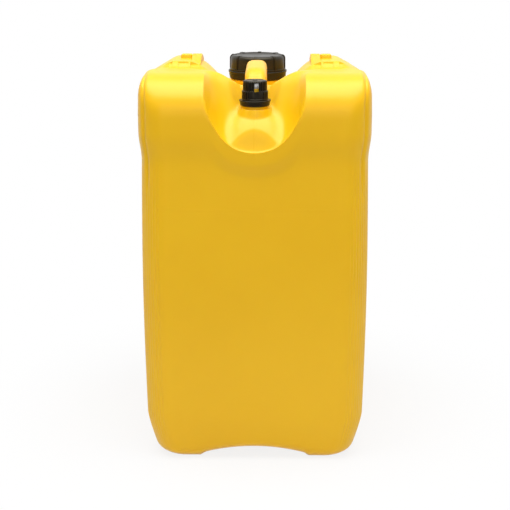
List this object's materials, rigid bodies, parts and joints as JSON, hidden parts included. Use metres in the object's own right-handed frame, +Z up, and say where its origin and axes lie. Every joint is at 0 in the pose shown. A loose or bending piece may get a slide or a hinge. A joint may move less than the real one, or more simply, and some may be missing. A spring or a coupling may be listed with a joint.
{
  "type": "motor oil jerry can",
  "caption": "Tall stackable blow moulded jerry can with a moulded-in grip, a wide screw-capped filler neck and a narrow screw-capped vent neck in a front scoop.",
  "frame": {"origin": "middle of the base, on the floor that the feet stand on", "axes": "+Z up, -Y towards the narrow vent end shown in the picture, +X to the right seen from there"},
  "size_m": [0.241, 0.29, 0.4275],
  "materials": {
    "tank": "satin yellow polyethylene",
    "cap": "satin black polyethylene",
    "seal": "white foamed polyethylene"
  },
  "bodies": {
    "can": {"tank": "tank", "filler_band": "cap", "vent_band": "cap"},
    "filler_liner": {"filler_seal": "seal"},
    "filler_closure": {"filler_cap": "cap"},
    "vent_liner": {"vent_plug": "seal"},
    "vent_closure": {"vent_cap": "cap"}
  },
  "joints": [
    {"name": "filler_lift", "type": "slide", "parent": "can", "child": "filler_liner", "axis": [0, 0, 1], "range_m": [0, 0.01351]},
    {"name": "filler_turn", "type": "hinge", "parent": "filler_liner", "child": "filler_closure", "pos_m": [0, 0.083, 0.405], "axis": [0, 0, 1], "range_deg": [0, 810]},
    {"name": "vent_lift", "type": "slide", "parent": "can", "child": "vent_liner", "axis": [0, 0, 1], "range_m": [0, 0.00826]},
    {"name": "vent_turn", "type": "hinge", "parent": "vent_liner", "child": "vent_closure", "pos_m": [0, -0.109, 0.4], "axis": [0, 0, 1], "range_deg": [0, 990]}
  ],
  "couplings": [
    {"joint": "filler_lift", "follows": "filler_turn", "m_per_rad": 0.00095493},
    {"joint": "vent_lift", "follows": "vent_turn", "m_per_rad": 0.00047746}
  ]
}
